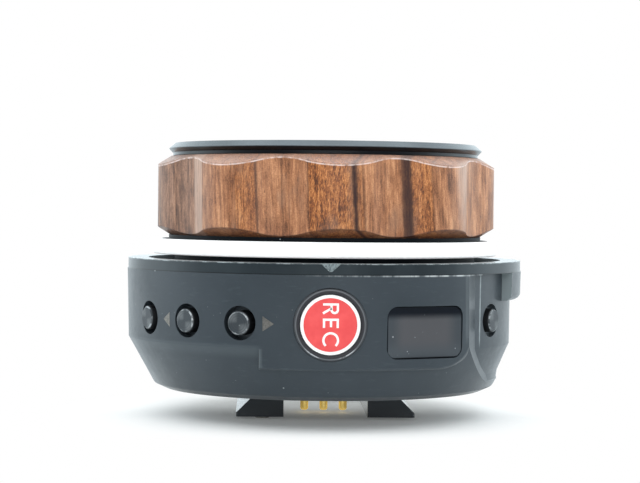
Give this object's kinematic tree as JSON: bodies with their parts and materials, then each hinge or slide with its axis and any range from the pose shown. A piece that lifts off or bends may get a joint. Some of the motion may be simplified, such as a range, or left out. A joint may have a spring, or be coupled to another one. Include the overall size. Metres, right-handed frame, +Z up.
{
  "type": "follow focus unit",
  "caption": "Wireless follow focus hand unit: scalloped wooden focus wheel with a white marking ring on a round black control housing with push buttons, display and dovetail feet.",
  "frame": {"origin": "on the wheel axis, in the plane of the undersides of the two dovetail feet", "axes": "+Z up along the wheel axis; the front, with the record button, faces -Y; +Y is the way the feet slide into their bracket; +X is to the right as seen from the front"},
  "size_m": [0.0728, 0.0728, 0.0495],
  "materials": {
    "walnut": "oiled, satin",
    "housing_black": "fine spark-eroded satin",
    "anodised_black": "black anodised, satin",
    "feet_black": "black anodised, bead blasted",
    "clear_plastic": "clear, milky, moulded",
    "bearing_steel": "ground",
    "pin_steel": "polished",
    "brass": "turned",
    "magnet_nickel": "nickel plated",
    "screw_steel": "blackened",
    "spring_steel": "drawn wire",
    "white_plastic": "fine matt, takes a pen",
    "rubber_black": "moulded silicone",
    "switch_body": "moulded",
    "circuit_board": "solder mask",
    "chip_black": "moulded",
    "inner_plastic": "moulded",
    "shield_tin": "tin plated",
    "battery_foil": "laminated foil",
    "rec_white": "moulded, satin",
    "rec_red": "moulded, satin",
    "display_glass": "smoked",
    "contact_gold": "gold plated",
    "button_black": "turned face, satin"
  },
  "bodies": {
    "root": {"housing": "housing_black", "base_plate": "anodised_black", "dovetail_foot_left": "feet_black", "dovetail_foot_right": "feet_black", "bezel_ring": "anodised_black", "index_marker": "clear_plastic", "bearing_carrier": "anodised_black", "bearing_outer_races": "bearing_steel", "bearing_balls": "bearing_steel", "button_switches": "switch_body", "button_boards": "circuit_board", "rec_surround": "rubber_black", "rec_switch": "switch_body", "rec_board": "circuit_board", "display_window": "display_glass", "display_panel": "display_glass", "display_board": "circuit_board", "control_bracket": "inner_plastic", "main_board": "circuit_board", "board_components": "chip_black", "radio_module": "shield_tin", "battery_tray": "inner_plastic", "battery": "battery_foil", "usb_port": "shield_tin", "usb_board": "circuit_board", "usb_posts": "brass", "pogo_block": "inner_plastic", "pogo_barrels": "contact_gold", "board_screws": "screw_steel", "bezel_screws": "screw_steel", "base_screws": "screw_steel", "foot_screws": "screw_steel", "pogo_spring_left": "spring_steel", "pogo_spring_middle": "spring_steel", "pogo_spring_right": "spring_steel", "lock_spring": "spring_steel"},
    "wheel": {"top_cap": "anodised_black", "cap_seal": "rubber_black", "wood_grip": "walnut", "wheel_hub": "anodised_black", "stop_pin": "bearing_steel", "hub_screw": "screw_steel", "ring_magnets": "magnet_nickel", "marking_ring": "white_plastic", "wheel_shaft": "bearing_steel", "bearing_spacer": "brass", "shaft_clip": "bearing_steel", "encoder_magnet": "magnet_nickel", "bearing_inner_races": "bearing_steel"},
    "rec_key": {"rec_button": "rec_white", "rec_disc": "rec_red"},
    "mode_key": {"mode_button": "button_black"},
    "back_key": {"back_button": "button_black"},
    "forward_key": {"forward_button": "button_black"},
    "side_key": {"side_button": "button_black"},
    "contact_left": {"pogo_pin_left": "contact_gold"},
    "contact_middle": {"pogo_pin_middle": "contact_gold"},
    "contact_right": {"pogo_pin_right": "contact_gold"},
    "lock": {"lock_pin": "pin_steel"}
  },
  "joints": [
    {"name": "wheel_turn", "type": "hinge", "parent": "root", "child": "wheel", "pos_m": [0, 0, 0], "axis": [0, 0, 1], "range_deg": [-150, 150]},
    {"name": "rec_press", "type": "slide", "parent": "root", "child": "rec_key", "axis": [0, 1, 0], "range_m": [0, 0.0006], "stiffness_N_per_m": 600, "springref_m": -0.0003},
    {"name": "mode_press", "type": "slide", "parent": "root", "child": "mode_key", "axis": [0.866, 0.5, 0], "range_m": [0, 0.0005], "stiffness_N_per_m": 500, "springref_m": -0.0003},
    {"name": "back_press", "type": "slide", "parent": "root", "child": "back_key", "axis": [0.6756, 0.7373, 0], "range_m": [0, 0.0005], "stiffness_N_per_m": 500, "springref_m": -0.0003},
    {"name": "forward_press", "type": "slide", "parent": "root", "child": "forward_key", "axis": [0.4226, 0.9063, 0], "range_m": [0, 0.0005], "stiffness_N_per_m": 500, "springref_m": -0.0003},
    {"name": "side_press", "type": "slide", "parent": "root", "child": "side_key", "axis": [-0.8453, 0.5344, 0], "range_m": [0, 0.0005], "stiffness_N_per_m": 500, "springref_m": -0.0003},
    {"name": "contact_left_press", "type": "slide", "parent": "root", "child": "contact_left", "axis": [0, 0, 1], "range_m": [0, 0.0008], "stiffness_N_per_m": 300, "springref_m": -0.001, "deforming": ["pogo_spring_left"]},
    {"name": "contact_middle_press", "type": "slide", "parent": "root", "child": "contact_middle", "axis": [0, 0, 1], "range_m": [0, 0.0008], "stiffness_N_per_m": 300, "springref_m": -0.001, "deforming": ["pogo_spring_middle"]},
    {"name": "contact_right_press", "type": "slide", "parent": "root", "child": "contact_right", "axis": [0, 0, 1], "range_m": [0, 0.0008], "stiffness_N_per_m": 300, "springref_m": -0.001, "deforming": ["pogo_spring_right"]},
    {"name": "lock_press", "type": "slide", "parent": "root", "child": "lock", "axis": [0, 0, 1], "range_m": [0, 0.0006], "stiffness_N_per_m": 200, "springref_m": -0.001, "deforming": ["lock_spring"]}
  ]
}
